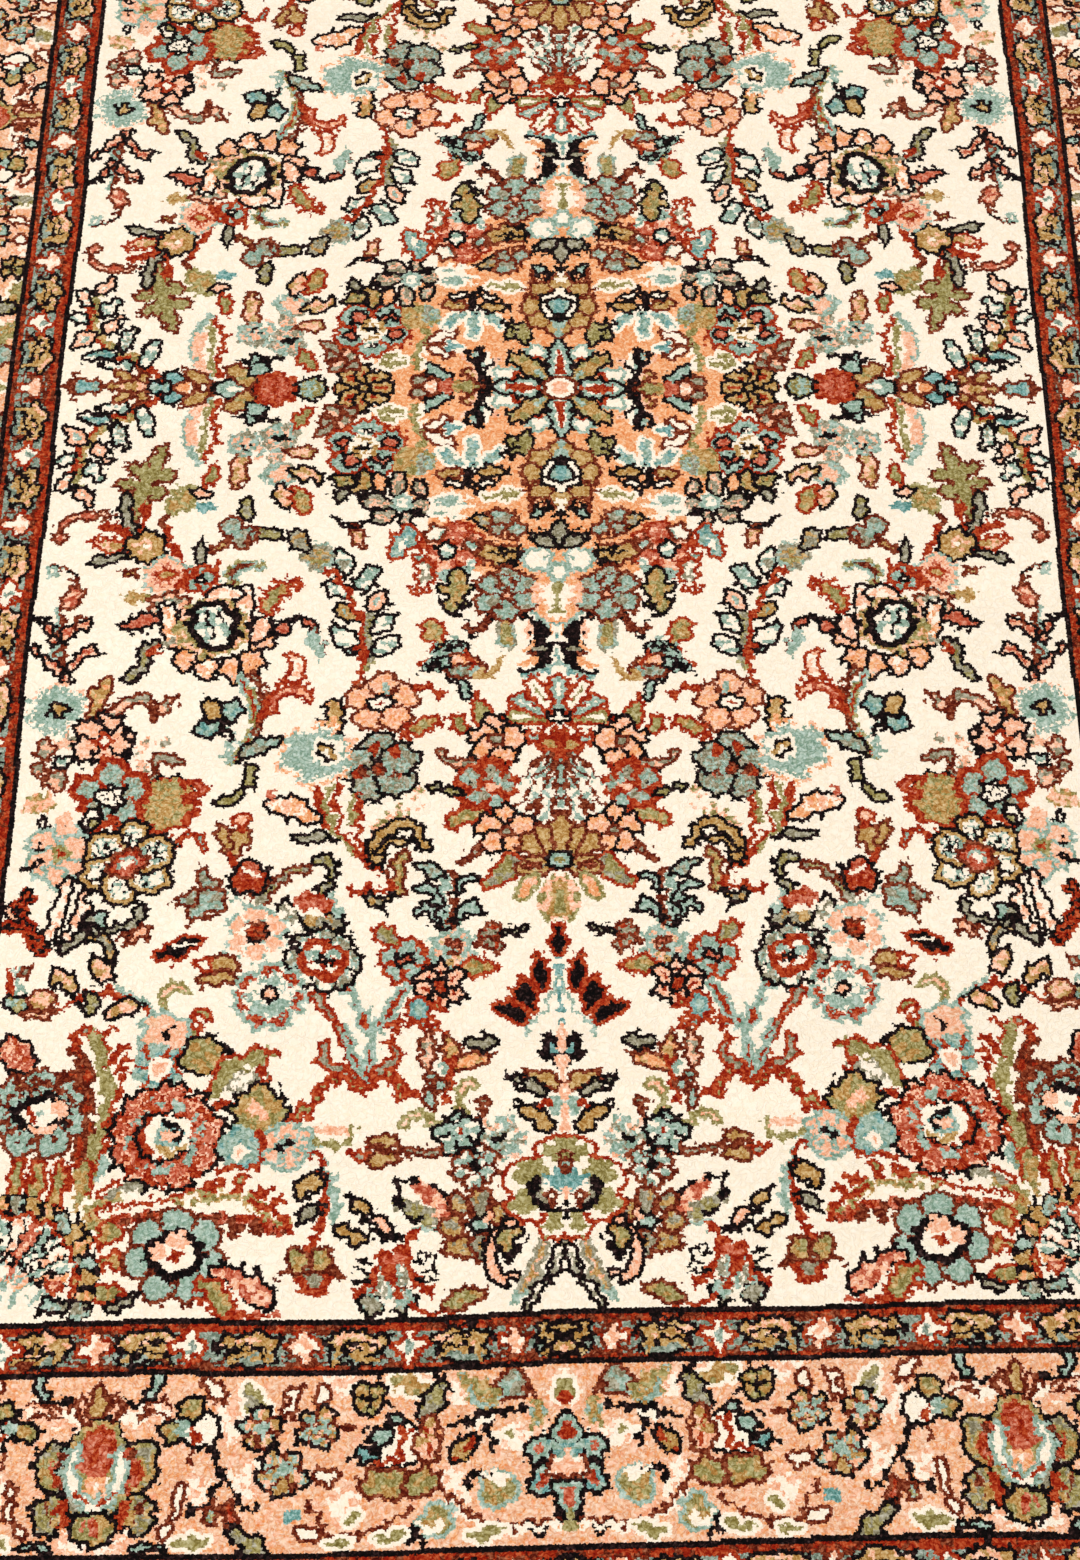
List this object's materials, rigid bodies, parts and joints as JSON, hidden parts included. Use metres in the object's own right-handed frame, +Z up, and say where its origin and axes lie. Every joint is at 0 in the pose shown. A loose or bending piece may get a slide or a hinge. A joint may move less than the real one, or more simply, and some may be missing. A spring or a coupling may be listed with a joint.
{
  "type": "kashmir silk rug",
  "caption": "Hand-knotted rectangular silk rug lying flat: clipped floral medallion pile, overcast side cords and plain woven end webs.",
  "frame": {"origin": "centre of the flat underside, on the floor", "axes": "+Y along the rug's length, +X across its width, +Z up out of the pile"},
  "size_m": [0.9312, 1.5504, 0.006],
  "materials": {
    "silk_pile": "clipped silk pile, softly lustrous, knotted in a floral medallion pattern on an ivory field",
    "foundation": "plain woven undyed cotton, matt",
    "side_cord": "silk overcasting wound round the side warps"
  },
  "bodies": {
    "root": {"rug": "silk_pile"}
  },
  "joints": []
}
